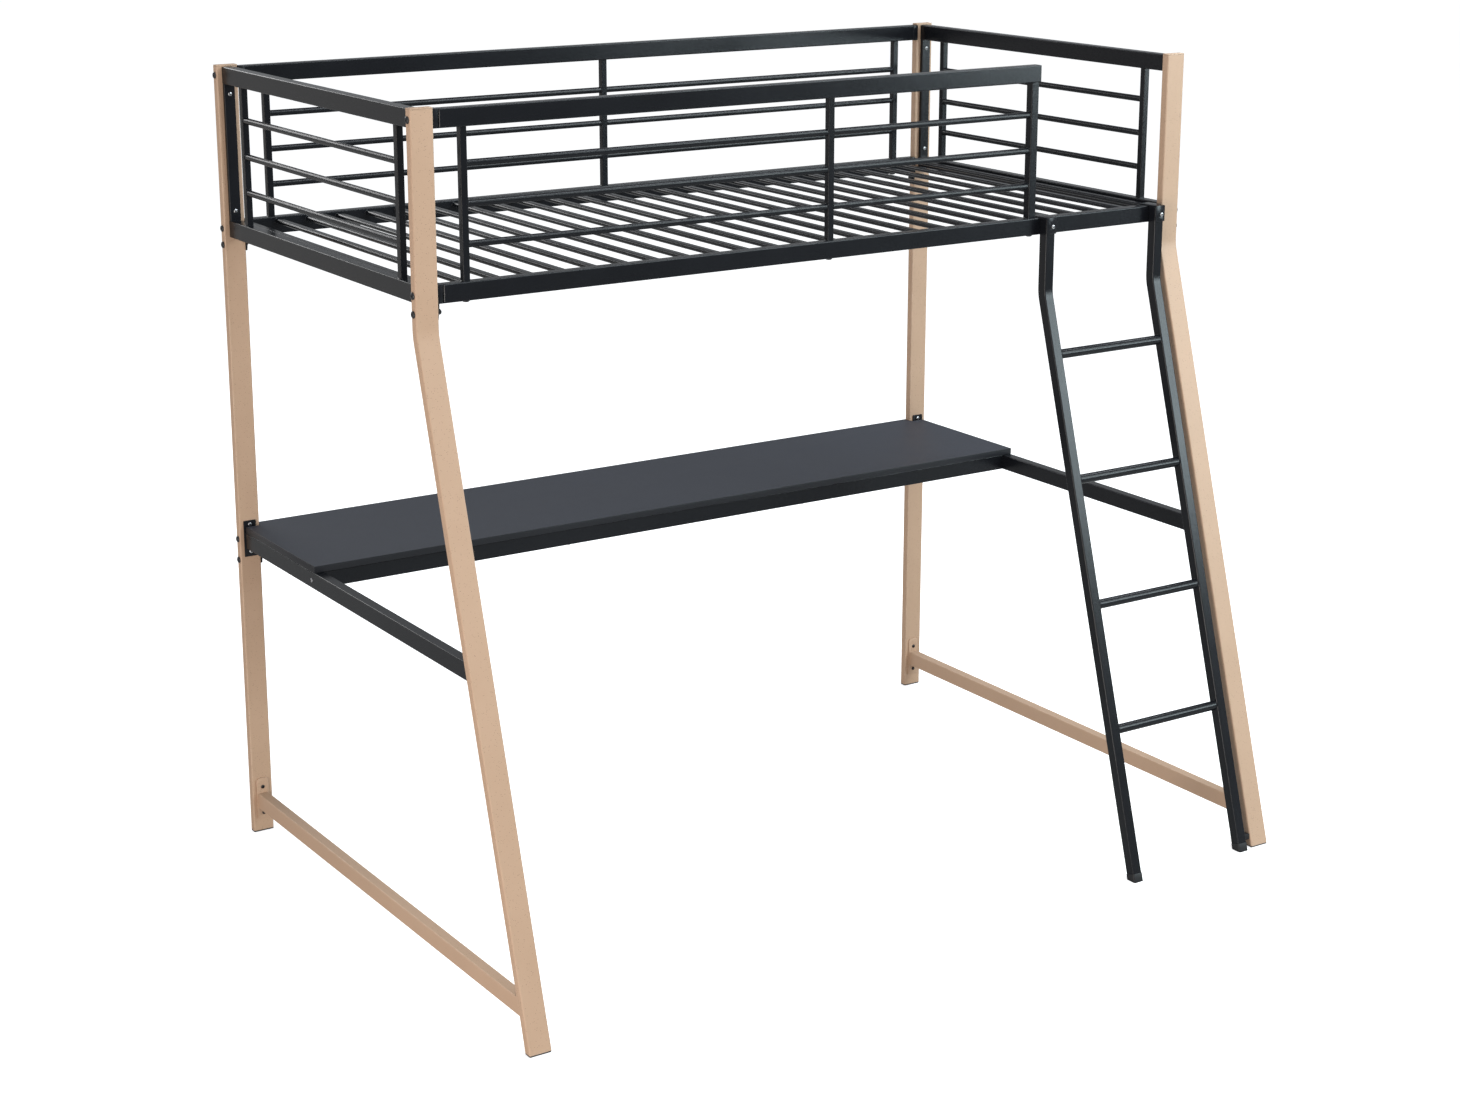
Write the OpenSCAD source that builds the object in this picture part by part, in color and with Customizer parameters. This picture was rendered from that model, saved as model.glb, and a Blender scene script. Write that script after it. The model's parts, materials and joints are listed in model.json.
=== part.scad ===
// Loft bed with a desk board, a leaning ladder and a guard round the deck.
// Tan flat-oval-edged posts, black tube rails, flat-oval slats.
// +X is the bed's length, -Y the front (ladder side), +Z up, floor at z = 0.

// Which piece to draw, or "all"

/* [Overall] */
// Length over the posts, along X
overall_length = 1980; // [1700:10:2300]
// Depth from the back of the rear posts to the front of the ladder's feet
overall_depth = 1388.5; // [1250:1:1600]
// Height to the top of the posts
overall_height = 1818; // [1600:1:2200]
// Depth of the bed frame itself, front face to rear face of the posts
bed_depth = 980; // [800:5:1500]

/* [Posts and front legs] */
// Width of the post tube along X
post_w = 50; // [30:1:80]
// Thickness of the post tube along Y
post_t = 20; // [15:1:50]
// Corner radius of the post tube
post_r = 3; // [0.5:0.5:6]
// Wall of every steel tube
wall = 1; // [0.8:0.1:2]
// Bend of the front legs below the top of the deck rails
leg_bend_drop = 97; // [90:1:300]
// Radius of the bends in legs and ladder stiles, on the centre line
bend_radius = 100; // [40:5:200]
// How far the ladder's feet stand in front of the front legs' feet
foot_lead = 4.5; // [0:0.5:40]
// Thickness of the plate that closes the top of a post
cap_h = 3; // [1:0.5:8]
// Thickness of the glide under each foot
glide_h = 4; // [2:0.5:10]

/* [Rails and panels] */
// Height of the rails
rail_h = 38; // [25:1:60]
// Thickness of the rails
rail_t = 25; // [15:1:40]
// Corner radius of the black tubes
rail_r = 2.5; // [0.5:0.5:5]
// Top of the deck rails below the top of the posts
deck_drop = 347; // [250:1:500]
// Top of the guard rails below the top of the posts
guard_drop = 4; // [0:1:60]
// Gap between the end of a long rail and the post, filled by its bracket
bracket_gap = 14; // [8:1:30]
// Thickness of the bracket plates
plate_t = 3; // [2:0.5:6]
// How far the brackets sit back from the front of the rail
bracket_inset = 2.5; // [0:0.5:5]
// Side of the square guard uprights
upright_w = 15; // [10:1:25]
// Side of the square post at the guard's open end
end_post_w = 20; // [15:1:30]
// Diameter of the guard rods
rod_d = 14; // [8:1:20]
// Number of rods in each panel
rod_count = 3; // [1:1:5]
// Wall of the rods
rod_wall = 1; // [0.8:0.1:2]
// Middle of the guard's outer uprights from the posts' inner faces
guard_upright_in = 66; // [30:1:300]
// Gap between the guard's open end and the ladder
guard_ladder_gap = 8; // [4:1:100]
// Depth of the plug of the cap in the guard's open end
plug_h = 12; // [5:1:30]
// Middle of the end panels' uprights from the posts' inner faces
end_upright_in = 85; // [30:1:250]
// Thickness of the end panels' outer stiles
stile_t = 10; // [6:1:20]

/* [Slats] */
// Number of slats
slat_count = 26; // [10:1:36]
// Width of a slat
slat_w = 20; // [12:1:40]
// Height of a slat
slat_h = 10; // [6:1:20]
// Wall of the slats
slat_wall = 0.8; // [0.6:0.1:1.5]
// Top of the slats below the top of the deck rails
slat_drop = 5; // [0:0.5:15]
// Gap from the last slat's middle to the post's inner face
slat_margin = 5.5; // [0:0.5:60]

/* [Desk] */
// Top of the desk board
desk_z = 758; // [650:1:900]
// Thickness of the desk board
board_t = 15; // [10:1:30]
// Depth of the desk board
board_depth = 408; // [300:1:700]
// Board's end short of the posts' outer faces
board_inset = 12.5; // [0:0.5:60]
// Board corners' radius
board_r = 5; // [1:1:40]
// Thickness of the desk's front beam
beam_t = 20; // [15:1:40]
// Front beam's face behind the board's front edge
beam_inset = 4; // [0:1:80]
// Width of the plates at the ends of the low rails
end_plate_w = 30; // [26:1:45]
// Desk rail's end plates below the rail
desk_plate_drop = 20; // [16:1:40]
// Desk plates' top above the board
desk_plate_rise = 13; // [12:1:30]
// Depth of the rear beam's bracket below the board
beam_bracket_h = 79; // [60:1:120]

/* [Lower stretchers] */
// Underside of the stretchers
stretcher_z = 60; // [20:1:300]
// Stretchers' end plates below the stretcher
stretcher_plate_drop = 25; // [20:1:50]
// Stretchers' end plates above the stretcher
stretcher_plate_rise = 37; // [25:1:60]
// Radius of the plates' upper corners
plate_r = 8; // [1:1:12]

/* [Ladder] */
// Ladder's width over its stiles
ladder_w = 350; // [280:5:500]
// Side of the square ladder stile
ladder_t = 25; // [20:1:35]
// Gap between the ladder and the right front post
ladder_gap = 17; // [5:1:100]
// Number of rungs
rung_count = 4; // [2:1:6]
// Diameter of a rung
rung_d = 22; // [18:1:35]
// Height of the lowest rung's middle
rung_first = 332; // [150:1:400]
// Middle of the highest rung below the top of the deck rails
rung_drop = 308; // [200:1:400]
// Wall of the ladder's foot caps
foot_wall = 1; // [0.8:0.1:4]
// Height of the ladder's foot caps
foot_h = 16; // [10:1:60]
// Thickness of the ladder hooks' strip
hook_t = 3; // [2:0.5:5]
// Width of the ladder hooks
hook_w = 27; // [20:1:40]
// Hook's tab down the front of the stile
hook_tab = 34; // [15:1:60]
// Hook's lip down the back of the rail, above the slats
hook_lip = 4; // [1:0.5:20]
// Width of the spacer's tab beside the right leg
spacer_w = 14; // [8:1:25]
// Middle of the spacer above the floor
spacer_z = 26; // [15:1:80]

/* [Fasteners] */
// Shank of the bolts
bolt_d = 6; // [4:0.5:8]
// Head of the bolts
head_d = 15; // [8:0.5:18]
// Height of a bolt's head
head_h = 4; // [2:0.1:6]
// Across the flats of a nut
nut_af = 10; // [7:0.5:13]
// Height of a nut
nut_h = 5; // [3:0.5:8]
// Play between a bolt and its hole, all round
hole_play = 0.25; // [0.1:0.05:1]
// Shank of the small screws
screw_d = 4; // [3:0.5:6]
// Head of the small screws
screw_head = 9; // [6:0.5:12]
// Bolt below the top of a deck rail
deck_bolt_1 = 18; // [8:1:30]
// Lower bolt below the top of a deck rail
deck_bolt_2 = 55; // [44:1:64]
// Height of a deck rail's bracket
deck_bracket_h = 71; // [56:1:90]
// Panel screws in from the rails
panel_screw_in = 22; // [8:1:60]

/* [Hidden] */
$fn = 48;
eps = 0.01;
half_len = overall_length / 2;
y_back = overall_depth / 2;
y_front = y_back - bed_depth;
y_mid = (y_back + y_front) / 2;
post_x = half_len - post_w / 2;
post_in = half_len - post_w;
guard_z = overall_height - guard_drop;
deck_z = overall_height - deck_drop;
leg_bend_z = deck_z - leg_bend_drop;
lean = atan((y_front + overall_depth / 2 - foot_lead) / leg_bend_z);
guard_low = guard_z - rail_h;
deck_low = deck_z - rail_h;
rail_end = post_in - bracket_gap;
side_c = rail_t / 2;
post_c = post_t / 2;
end_in_front = y_front + post_t;
end_in_back = y_back - post_t;
rod_gap = (guard_low - deck_z - rod_count * rod_d) / (rod_count + 1);
slat_z = deck_z - slat_drop - slat_h / 2;
slat_span = post_in - slat_margin;
board_z = desk_z - board_t;
desk_low = board_z - rail_h;
board_front = y_back - board_depth;
beam_y = board_front + beam_inset + beam_t / 2;
desk_plate_z = desk_low - desk_plate_drop;
desk_plate_h = desk_z + desk_plate_rise - desk_plate_z;
stretcher_plate_z = stretcher_z - stretcher_plate_drop;
stretcher_plate_h = stretcher_plate_drop + rail_h + stretcher_plate_rise;
upright_x = post_in - guard_upright_in;
upright_y = bed_depth / 2 - post_t - end_upright_in;
plate_y = end_in_back - plate_t;
hole_d = bolt_d + 2 * hole_play;
screw_hole = screw_d + 2 * hole_play;
leg_yc = y_front + post_t / 2;
leg_zc = leg_bend_z - post_t / 2 * tan(lean / 2);
ladder_yc = y_front - ladder_t / 2;
foot_half = (ladder_t / 2 + foot_wall) / cos(lean);
ladder_zc = (ladder_yc + overall_depth / 2 - foot_half) / tan(lean);
ladder_x2 = post_in - ladder_gap - ladder_t / 2;
ladder_x1 = ladder_x2 - ladder_w + ladder_t;
guard_end_x = ladder_x1 - ladder_t / 2 - guard_ladder_gap;
guard_post_x = guard_end_x - 3 - end_post_w / 2;
rung_pitch = (deck_z - rung_drop - rung_first) / (rung_count - 1);
deck_bolts = [deck_z - deck_bolt_1, deck_z - deck_bolt_2];
desk_bolts = [board_z - 16, board_z - 66];
desk_plate_bolts = [desk_low - screw_head / 2 - 3.5, desk_z + desk_plate_rise - 9];
stretcher_bolts = [stretcher_z - 12, stretcher_z + rail_h + 15];
panel_screws_z = [deck_z + panel_screw_in, guard_low - panel_screw_in];
tan_paint = [0.80, 0.69, 0.57];
black_paint = [0.16, 0.17, 0.19];
board_grey = [0.30, 0.31, 0.34];
plastic_black = [0.09, 0.09, 0.10];
bright_steel = [0.75, 0.75, 0.76];

// Where the sloping front faces and centre lines are at a height
function leg_front(z) = y_front - max(0, leg_bend_z - z) * tan(lean);
function leg_back(z) = leg_front(z) + post_t / cos(lean);
function ladder_c(z) = ladder_yc - max(0, ladder_zc - z) * tan(lean);

module rounded(w, h, r) {
    square([w - 2 * r, h], center = true);
    square([w, h - 2 * r], center = true);
    for (sx = [-1, 1]) {
        for (sy = [-1, 1]) {
            translate([sx * (w / 2 - r), sy * (h / 2 - r)]) circle(r = r);
        }
    }
}

module section(w, h, r, t) {
    difference() {
        rounded(w, h, r);
        square([w - 2 * t, h - 2 * t], center = true);
    }
}

module tube_x(x0, x1, yc, zc, ty, tz, r) {
    translate([x0, yc, zc]) rotate([90, 0, 90]) linear_extrude(x1 - x0) section(ty, tz, r, wall);
}

module tube_y(y0, y1, xc, zc, tx, tz, r) {
    translate([xc, y0, zc]) rotate([-90, 0, 0]) linear_extrude(y1 - y0) section(tx, tz, r, wall);
}

module tube_z(z0, z1, xc, yc, tx, ty, r) {
    translate([xc, yc, z0]) linear_extrude(z1 - z0) section(tx, ty, r, wall);
}

module ring(d, t, len) {
    linear_extrude(len) difference() {
        circle(d = d);
        circle(d = d - 2 * t);
    }
}

module rod_x(x0, x1, yc, zc) {
    translate([x0, yc, zc]) rotate([0, 90, 0]) ring(rod_d, rod_wall, x1 - x0);
}

module rod_y(y0, y1, xc, zc) {
    translate([xc, y0, zc]) rotate([-90, 0, 0]) ring(rod_d, rod_wall, y1 - y0);
}

module pin_x(x0, x1, yc, zc, d) {
    translate([x0, yc, zc]) rotate([0, 90, 0]) cylinder(h = x1 - x0, d = d);
}

module pin_y(y0, y1, xc, zc, d) {
    translate([xc, y0, zc]) rotate([-90, 0, 0]) cylinder(h = y1 - y0, d = d);
}

module pin_z(z0, z1, xc, yc, d) {
    translate([xc, yc, z0]) cylinder(h = z1 - z0, d = d);
}

// A bolt head on z = 0 with its shank going down
module bolt(len, d, hd, hh) {
    difference() {
        union() {
            cylinder(h = hh * 0.4, d = hd);
            translate([0, 0, hh * 0.4]) cylinder(h = hh * 0.6, d1 = hd, d2 = hd * 0.62);
        }
        translate([0, 0, hh * 0.35]) cylinder(h = hh, d = hd * 0.4, $fn = 6);
    }
    translate([0, 0, -len]) cylinder(h = len, d = d);
}

// The outline of a rounded rectangle, counter-clockwise, as points
function outline(w, h, r) = [
    for (q = [0 : 3]) for (k = [0 : 4])
        let (t = 90 * q + 22.5 * k, sx = q == 0 || q == 3 ? 1 : -1, sy = q < 2 ? 1 : -1)
            [sx * (w / 2 - r) + r * cos(t), sy * (h / 2 - r) + r * sin(t)]
];

// A section's points at place [y, z] on the path, turned forward by angle a
function at_bend(sec, xc, y, z, a) = [
    for (p = sec) [xc + p[0], y + p[1] * cos(a), z - p[1] * sin(a)]
];

// A section's points where the leaning part meets the level z
function at_level(sec, xc, y, z, a, level) = [
    for (p = sec)
        let (py = y + p[1] * cos(a), pz = z - p[1] * sin(a))
            [xc + p[0], py - (pz - level) * tan(a), level]
];

// A solid that goes straight down, bends and leans forward, in the YZ plane.
// zc is where its centre lines cross, and its foot is cut level.
module bent_bar(xc, yc, zc, z_top, z_foot, w, h, r) {
    steps = 8;
    turn = bend_radius * tan(lean / 2);
    sec = outline(w, h, r);
    n = len(sec);
    rings = concat(
        [at_bend(sec, xc, yc, z_top, 0)],
        [for (k = [0 : steps]) at_bend(sec, xc, yc - bend_radius * (1 - cos(lean * k / steps)),
            zc + turn - bend_radius * sin(lean * k / steps), lean * k / steps)],
        [at_level(sec, xc, yc - bend_radius * (1 - cos(lean)),
            zc + turn - bend_radius * sin(lean), lean, z_foot)]
    );
    last = len(rings) - 1;
    polyhedron(
        points = [for (g = rings) for (p = g) p],
        faces = concat(
            [[for (j = [n - 1 : -1 : 0]) j]],
            [for (i = [0 : last - 1]) for (j = [0 : n - 1])
                [i * n + j, i * n + (j + 1) % n, (i + 1) * n + (j + 1) % n, (i + 1) * n + j]],
            [[for (j = [0 : n - 1]) last * n + j]]
        )
    );
}

// The same as a tube with a wall all round
module bent_tube(xc, yc, zc, z_top, z_foot, w, h, r) {
    difference() {
        bent_bar(xc, yc, zc, z_top, z_foot, w, h, r);
        bent_bar(xc, yc, zc, z_top + 1, z_foot - 1, w - 2 * wall, h - 2 * wall, max(0.4, r - wall));
    }
}

// A long rail's end bracket on the right, for a rail whose outer face is at y = 0
// and whose body goes toward +y; z_top is the rail's top, h the plate's height
module bracket(z_top, h, holes) {
    depth = rail_t - bracket_inset;
    difference() {
        union() {
            translate([rail_end, bracket_inset, z_top - rail_h]) difference() {
                cube([bracket_gap - plate_t, depth, rail_h]);
                translate([-1, 1.5, 1.5]) cube([bracket_gap + 2, depth - 3, rail_h - 3]);
            }
            translate([post_in - plate_t, bracket_inset, z_top]) rotate([90, 0, 90])
                linear_extrude(plate_t) polygon(h > rail_h
                    ? [[0, 0], [depth, 0], [depth, -rail_h - 6], [depth - 5, -h], [5, -h], [0, -rail_h - 6]]
                    : [[0, 0], [depth, 0], [depth, -h], [0, -h]]);
        }
        for (z = holes) {
            pin_x(post_in - plate_t - 1, post_in + 1, post_c, z, hole_d);
        }
    }
}

// The same bracket at one of the four corners: sx is -1 left, sy is -1 front
module corner_bracket(sx, sy, z_top, h, holes) {
    mirror([sx < 0 ? 1 : 0, 0, 0]) translate([0, sy < 0 ? y_front : y_back, 0])
        mirror([0, sy < 0 ? 0 : 1, 0]) bracket(z_top, h, holes);
}

// Bolts' holes through a post, along X
module post_holes(sx, yc, zs) {
    for (z = zs) {
        pin_x(-half_len - 1, half_len + 1, yc, z, hole_d);
    }
}

function post_y(sy) = sy < 0 ? y_front + post_c : y_back - post_c;

module rear_post(sx) {
    color(tan_paint) difference() {
        tube_z(glide_h, overall_height - cap_h, sx * post_x, post_y(1), post_w, post_t, post_r);
        for (z = concat([guard_z - rail_h / 2], deck_bolts, desk_bolts)) {
            pin_x(sx * post_x - post_w, sx * post_x + post_w, post_y(1), z, hole_d);
        }
        for (z = concat(panel_screws_z, desk_plate_bolts, stretcher_bolts)) {
            pin_y(end_in_back - 1, end_in_back + wall + 1, sx * (half_len - post_w / 2), z, screw_hole);
        }
    }
}

module front_leg(sx) {
    zs = sx < 0 ? concat([guard_z - rail_h / 2], deck_bolts) : deck_bolts;
    color(tan_paint) difference() {
        bent_tube(sx * post_x, leg_yc, leg_zc, overall_height - cap_h, glide_h, post_w, post_t, post_r);
        for (z = zs) {
            pin_x(sx * post_x - post_w, sx * post_x + post_w, post_y(-1), z, hole_d);
        }
        for (z = panel_screws_z) {
            pin_y(end_in_front - wall - 1, end_in_front + 1, sx * post_x, z, screw_hole);
        }
        for (z = stretcher_bolts) {
            on_leg(sx, z) translate([0, 0, -wall - 1]) cylinder(h = wall + 2, d = screw_hole);
        }
    }
}

// Puts a child on a leg's rear face at height z, its z axis square to that face
module on_leg(sx, z) {
    translate([sx * post_x, leg_back(z), z]) rotate([-90 - lean, 0, 0]) children();
}

module post_rear_left() { rear_post(-1); }
module post_rear_right() { rear_post(1); }
module leg_front_left() { front_leg(-1); }
module leg_front_right() { front_leg(1); }

module post_caps() {
    color(tan_paint) for (sx = [-1, 1]) {
        for (sy = [-1, 1]) {
            translate([sx * post_x, post_y(sy), overall_height - cap_h])
                linear_extrude(cap_h) rounded(post_w, post_t, post_r);
        }
    }
}

module foot_glides() {
    long = post_t / cos(lean);
    color(plastic_black) for (sx = [-1, 1]) {
        translate([sx * post_x, post_y(1), 0]) linear_extrude(glide_h) rounded(post_w, post_t, post_r);
        translate([sx * post_x, leg_front(glide_h) + long / 2, 0])
            linear_extrude(glide_h) rounded(post_w, long, post_r);
    }
}

module end_rail(sx, z_top) {
    color(black_paint) tube_y(end_in_front, end_in_back, sx * post_x, z_top - rail_h / 2, rail_t, rail_h, rail_r);
}

module end_top_rail_left() { end_rail(-1, guard_z); }
module end_top_rail_right() { end_rail(1, guard_z); }
module end_bottom_rail_left() { end_rail(-1, deck_z); }
module end_bottom_rail_right() { end_rail(1, deck_z); }

module end_stiles() {
    color(black_paint) for (sx = [-1, 1]) {
        for (sy = [-1, 1]) {
            yc = sy < 0 ? end_in_front + stile_t / 2 : end_in_back - stile_t / 2;
            difference() {
                tube_z(deck_z, guard_low, sx * post_x, yc, rail_t, stile_t, 1.5);
                for (z = panel_screws_z) {
                    pin_y(yc - stile_t, yc + stile_t, sx * post_x, z, screw_hole);
                }
            }
        }
    }
}

module end_uprights() {
    color(black_paint) for (sx = [-1, 1]) {
        for (sy = [-1, 1]) {
            tube_z(deck_z, guard_low, sx * post_x, y_mid + sy * upright_y, upright_w, upright_w, 1.5);
        }
    }
}

module end_rods(sx) {
    color(black_paint) for (i = [0 : rod_count - 1]) {
        rod_y(y_mid - upright_y + upright_w / 2, y_mid + upright_y - upright_w / 2, sx * post_x, rod_z(i));
    }
}

function rod_z(i) = deck_z + rod_gap + rod_d / 2 + i * (rod_gap + rod_d);

module end_rods_left() { end_rods(-1); }
module end_rods_right() { end_rods(1); }

// Bolt holes up through a long deck rail, under each guard upright
module guard_holes(xs, yc) {
    for (x = xs) {
        pin_z(deck_low - 1, deck_z + 1, x, yc, hole_d);
    }
}

function front_up_x() = [-upright_x, 0, guard_post_x];
function rear_up_x() = [-upright_x, 0, upright_x];

module side_rail_front() {
    color(black_paint) difference() {
        tube_x(-rail_end, rail_end, y_front + side_c, deck_z - rail_h / 2, rail_t, rail_h, rail_r);
        guard_holes(front_up_x(), y_front + side_c);
    }
}

module side_rail_rear() {
    color(black_paint) difference() {
        tube_x(-rail_end, rail_end, y_back - side_c, deck_z - rail_h / 2, rail_t, rail_h, rail_r);
        guard_holes(rear_up_x(), y_back - side_c);
    }
}

module side_rail_brackets() {
    color(black_paint) for (sx = [-1, 1]) {
        for (sy = [-1, 1]) {
            corner_bracket(sx, sy, deck_z, deck_bracket_h, deck_bolts);
        }
    }
}

module slats() {
    pitch = 2 * slat_span / (slat_count - 1);
    flat = slat_w - slat_h;
    color(black_paint) for (i = [0 : slat_count - 1]) {
        translate([-slat_span + i * pitch, y_front + rail_t, slat_z]) rotate([-90, 0, 0])
            linear_extrude(bed_depth - 2 * rail_t) difference() {
                union() {
                    square([flat, slat_h], center = true);
                    translate([-flat / 2, 0]) circle(d = slat_h);
                    translate([flat / 2, 0]) circle(d = slat_h);
                }
                square([flat + 2, slat_h - 2 * slat_wall], center = true);
            }
    }
}

module guard_rail_front() {
    color(black_paint) tube_x(-rail_end, guard_end_x - 2, y_front + side_c, guard_z - rail_h / 2, rail_t, rail_h, rail_r);
}

module guard_rail_rear() {
    color(black_paint) tube_x(-rail_end, rail_end, y_back - side_c, guard_z - rail_h / 2, rail_t, rail_h, rail_r);
}

module guard_rail_brackets() {
    color(black_paint) {
        corner_bracket(-1, -1, guard_z, rail_h, [guard_z - rail_h / 2]);
        corner_bracket(-1, 1, guard_z, rail_h, [guard_z - rail_h / 2]);
        corner_bracket(1, 1, guard_z, rail_h, [guard_z - rail_h / 2]);
    }
}

module guard_uprights_front() {
    color(black_paint) for (x = [-upright_x, 0]) {
        tube_z(deck_z, guard_low, x, y_front + side_c, upright_w, upright_w, 1.5);
    }
}

module guard_end_post() {
    color(black_paint) tube_z(deck_z, guard_low, guard_post_x, y_front + side_c, end_post_w, end_post_w, 2);
}

module guard_uprights_rear() {
    color(black_paint) for (x = rear_up_x()) {
        tube_z(deck_z, guard_low, x, y_back - side_c, upright_w, upright_w, 1.5);
    }
}

module guard_rods_front() {
    half = upright_w / 2;
    color(black_paint) for (i = [0 : rod_count - 1]) {
        rod_x(-upright_x + half, -half, y_front + side_c, rod_z(i));
        rod_x(half, guard_post_x - end_post_w / 2, y_front + side_c, rod_z(i));
    }
}

module guard_rods_rear() {
    half = upright_w / 2;
    color(black_paint) for (i = [0 : rod_count - 1]) {
        rod_x(-upright_x + half, -half, y_back - side_c, rod_z(i));
        rod_x(half, upright_x - half, y_back - side_c, rod_z(i));
    }
}

module guard_end_cap() {
    pw = rail_t - 2 * wall - 0.4;
    ph = rail_h - 2 * wall - 0.4;
    color(plastic_black) translate([guard_end_x - 2, y_front + side_c, guard_z - rail_h / 2]) {
        rotate([90, 0, 90]) linear_extrude(2) rounded(rail_t, rail_h, rail_r);
        translate([-plug_h, -pw / 2, -ph / 2]) cube([plug_h + eps, pw, ph]);
    }
}

// Board screws' places: [x, y] under the two side rails and the front beam
function board_screw_xy() = [
    for (sx = [-1, 1]) for (y = [board_front + 70, y_back - 90]) [sx * post_x, y],
    for (x = [-half_len / 3, half_len / 3]) [x, beam_y]
];

module desk_board() {
    len = overall_length - 2 * board_inset;
    notch_x = post_in - 2;
    notch_y = plate_y - head_h - 1;
    color(board_grey) difference() {
        translate([0, board_front + board_depth / 2, board_z])
            linear_extrude(board_t) rounded(len, board_depth, board_r);
        for (sx = [-1, 1]) {
            translate([sx > 0 ? notch_x : -notch_x - post_w - 10, notch_y, board_z - 1])
                cube([post_w + 10, post_t + 40, board_t + 2]);
        }
        for (p = board_screw_xy()) {
            pin_z(board_z - 1, board_z + board_t * 0.6, p[0], p[1], screw_hole);
        }
    }
}

module desk_beam_front() {
    side = post_x - rail_t / 2;
    color(black_paint) difference() {
        tube_x(-side, side, beam_y, board_z - rail_h / 2, beam_t, rail_h, rail_r);
        for (x = [-half_len / 3, half_len / 3]) {
            pin_z(desk_low - 1, board_z + 1, x, beam_y, screw_hole);
        }
    }
}

module desk_beam_rear() {
    color(black_paint) tube_x(-rail_end, rail_end, y_back - side_c, board_z - rail_h / 2, rail_t, rail_h, rail_r);
}

module desk_beam_brackets() {
    color(black_paint) for (sx = [-1, 1]) {
        corner_bracket(sx, 1, board_z, beam_bracket_h, desk_bolts);
    }
}

// A low rail from the rear post's plate to the plate on the leaning leg
module low_rail(sx, z_low) {
    difference() {
        tube_y(leg_front(z_low) - 10, plate_y, sx * post_x, z_low + rail_h / 2, rail_t, rail_h, rail_r);
        translate([sx * post_x, leg_back(z_low), z_low]) rotate([-lean, 0, 0])
            translate([-rail_t, -200 + plate_t, -100]) cube([2 * rail_t, 200, 300]);
    }
}

module desk_rail(sx) {
    x = sx * post_x;
    color(black_paint) difference() {
        low_rail(sx, desk_low);
        pin_x(x - rail_t, x + rail_t, beam_y, board_z - rail_h / 2, screw_hole);
        for (y = [board_front + 70, y_back - 90]) {
            pin_z(desk_low - 1, board_z + 1, x, y, screw_hole);
        }
    }
}

module desk_rail_left() { desk_rail(-1); }
module desk_rail_right() { desk_rail(1); }
module stretcher_left() { color(tan_paint) low_rail(-1, stretcher_z); }
module stretcher_right() { color(tan_paint) low_rail(1, stretcher_z); }

// A plate in the XZ plane with its upper corners rounded, z from 0
module plate_shape(w, h, r) {
    translate([-w / 2, 0]) square([w, h - r]);
    translate([-w / 2 + r, 0]) square([w - 2 * r, h]);
    translate([-w / 2 + r, h - r]) circle(r = r);
    translate([w / 2 - r, h - r]) circle(r = r);
}

// A plate on the front of a rear post
module post_plate(sx, z, h, r, zs) {
    difference() {
        translate([sx * post_x, end_in_back, z]) rotate([90, 0, 0])
            linear_extrude(plate_t) plate_shape(end_plate_w, h, r);
        for (zz = zs) {
            pin_y(end_in_back - plate_t - 1, end_in_back + 1, sx * post_x, zz, screw_hole);
        }
    }
}

// A plate on the back of a front leg, from height z0 to z1 along the slope
module leg_plate(sx, z0, z1, r, zs) {
    difference() {
        translate([sx * post_x, leg_back(z0), z0]) rotate([90 - lean, 0, 0]) translate([0, 0, -plate_t])
            linear_extrude(plate_t) plate_shape(end_plate_w, (z1 - z0) / cos(lean), r);
        for (z = zs) {
            on_leg(sx, z) translate([0, 0, -1]) cylinder(h = plate_t + 2, d = screw_hole);
        }
    }
}

module desk_post_plates() {
    color(black_paint) for (sx = [-1, 1]) {
        post_plate(sx, desk_plate_z, desk_plate_h, 2, desk_plate_bolts);
    }
}

module desk_leg_plates() {
    color(black_paint) for (sx = [-1, 1]) {
        leg_plate(sx, desk_low - 22, board_z - 1, 2, []);
    }
}

module stretcher_post_plates() {
    color(tan_paint) for (sx = [-1, 1]) {
        post_plate(sx, stretcher_plate_z, stretcher_plate_h, plate_r, stretcher_bolts);
    }
}

module stretcher_leg_plates() {
    color(tan_paint) for (sx = [-1, 1]) {
        leg_plate(sx, stretcher_plate_z, stretcher_plate_z + stretcher_plate_h, plate_r, stretcher_bolts);
    }
}

module ladder_stile(x) {
    color(black_paint) difference() {
        bent_tube(x, ladder_yc, ladder_zc, deck_z, glide_h, ladder_t, ladder_t, rail_r);
        pin_y(ladder_yc - ladder_t, ladder_yc, x + 4, deck_z - deck_bolt_1, screw_hole);
    }
}

module ladder_stile_left() { ladder_stile(ladder_x1); }
module ladder_stile_right() { ladder_stile(ladder_x2); }

module ladder_rungs() {
    x0 = ladder_x1 + ladder_t / 2;
    x1 = ladder_x2 - ladder_t / 2;
    color(black_paint) for (i = [0 : rung_count - 1]) {
        z = rung_first + i * rung_pitch;
        translate([x0, ladder_c(z), z]) rotate([0, 90, 0]) ring(rung_d, wall, x1 - x0);
    }
}

module ladder_hooks() {
    color(black_paint) for (x = [ladder_x1, ladder_x2]) {
        difference() {
            translate([x - hook_w / 2, y_front - ladder_t - hook_t, deck_z - hook_tab]) difference() {
                cube([hook_w, ladder_t + rail_t + 2 * hook_t, hook_tab + hook_t]);
                translate([-1, hook_t, -1]) cube([hook_w + 2, ladder_t + rail_t, hook_tab + 1]);
                translate([-1, hook_t + 1, -1]) cube([hook_w + 2, ladder_t + rail_t + 2 * hook_t, hook_tab - hook_lip + 1]);
            }
            pin_y(y_front - ladder_t - hook_t - 1, y_front - ladder_t + 1, x + 4, deck_z - deck_bolt_1, screw_hole);
        }
    }
}

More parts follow.
